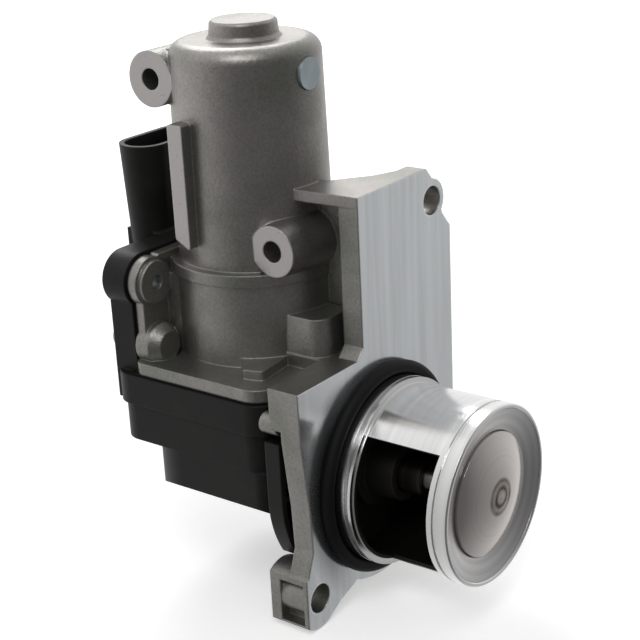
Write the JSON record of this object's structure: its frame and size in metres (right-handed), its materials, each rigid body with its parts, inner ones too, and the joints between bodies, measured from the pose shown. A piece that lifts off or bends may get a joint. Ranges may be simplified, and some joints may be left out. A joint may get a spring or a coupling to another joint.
{
  "type": "EGR valve",
  "caption": "Electric EGR valve: cast aluminium housing with motor, flanged valve tube with poppet disc, black gear cover with connector.",
  "frame": {"origin": "centre of the valve tube at the machined flange face", "axes": "valve tube along -Y from the flange face, motor standing along +Z"},
  "size_m": [0.0753, 0.123, 0.1616],
  "materials": {
    "cast_aluminium": "matte",
    "turned_aluminium": "satin",
    "stainless_steel": "satin",
    "spring_steel": "satin",
    "zinc_steel": "satin",
    "bronze": "satin",
    "copper": "satin",
    "tinned_brass": "satin",
    "magnet": "matte",
    "carbon": "matte",
    "brown_plastic": "matte",
    "gear_plastic": "matte",
    "black_plastic": "matte",
    "board_green": "matte",
    "black_rubber": "matte"
  },
  "bodies": {
    "valve_body": {"valve_housing": "cast_aluminium", "valve_tube": "turned_aluminium", "valve_seat": "turned_aluminium", "flange_o_ring": "black_rubber", "stem_guide": "bronze", "stem_seal": "black_rubber", "return_spring": "spring_steel", "motor_can": "stainless_steel", "motor_magnet_left": "magnet", "motor_magnet_right": "magnet", "upper_bearing": "bronze", "lower_bearing": "bronze", "brush_holder": "brown_plastic", "brush_left": "carbon", "brush_right": "carbon", "gear_plate": "cast_aluminium", "plate_screw_1": "zinc_steel", "plate_screw_2": "zinc_steel", "plate_screw_3": "zinc_steel", "idler_pin": "stainless_steel", "output_pin": "stainless_steel", "gear_cover": "black_plastic", "cover_seal": "black_rubber", "cover_screw_1": "zinc_steel", "cover_screw_2": "zinc_steel", "cover_screw_3": "zinc_steel", "cover_screw_4": "zinc_steel", "terminal_1": "tinned_brass", "terminal_2": "tinned_brass", "terminal_3": "tinned_brass", "terminal_4": "tinned_brass", "terminal_5": "tinned_brass", "core_plug": "zinc_steel", "sensor_board": "board_green", "sensor_chip": "black_plastic"},
    "armature": {"motor_shaft": "stainless_steel", "motor_pinion": "stainless_steel", "armature_core": "stainless_steel", "armature_windings": "copper", "commutator": "copper"},
    "idler": {"idler_pinion": "stainless_steel", "idler_wheel": "gear_plastic"},
    "output": {"output_crank": "stainless_steel", "crank_roller": "stainless_steel", "sector_gear": "gear_plastic"},
    "stem": {"valve_stem": "stainless_steel", "valve_disc": "stainless_steel", "spring_plate": "stainless_steel", "stem_yoke": "stainless_steel", "sensor_magnet": "magnet"}
  },
  "joints": [
    {"name": "armature_spin", "type": "hinge", "parent": "valve_body", "child": "armature", "pos_m": [0, 0.0413, 0.08], "axis": [0, 0, 1], "range_deg": [0, 861.33]},
    {"name": "idler_turn", "type": "hinge", "parent": "valve_body", "child": "idler", "pos_m": [-0.01354, 0.03135, 0.02], "axis": [0, 0, 1], "range_deg": [-226.67, 0]},
    {"name": "output_turn", "type": "hinge", "parent": "valve_body", "child": "output", "pos_m": [0.00486, 0.031, 0.012], "axis": [0, 0, 1], "range_deg": [0, 80]},
    {"name": "stem_slide", "type": "slide", "parent": "valve_body", "child": "stem", "axis": [0, -1, 0], "range_m": [0, 0.00707], "deforming": ["return_spring"]}
  ],
  "couplings": [
    {"joint": "idler_turn", "follows": "armature_spin", "ratio": -0.26316},
    {"joint": "output_turn", "follows": "armature_spin", "ratio": 0.092879},
    {"joint": "stem_slide", "follows": "armature_spin", "m_per_rad": 0.00047034}
  ]
}
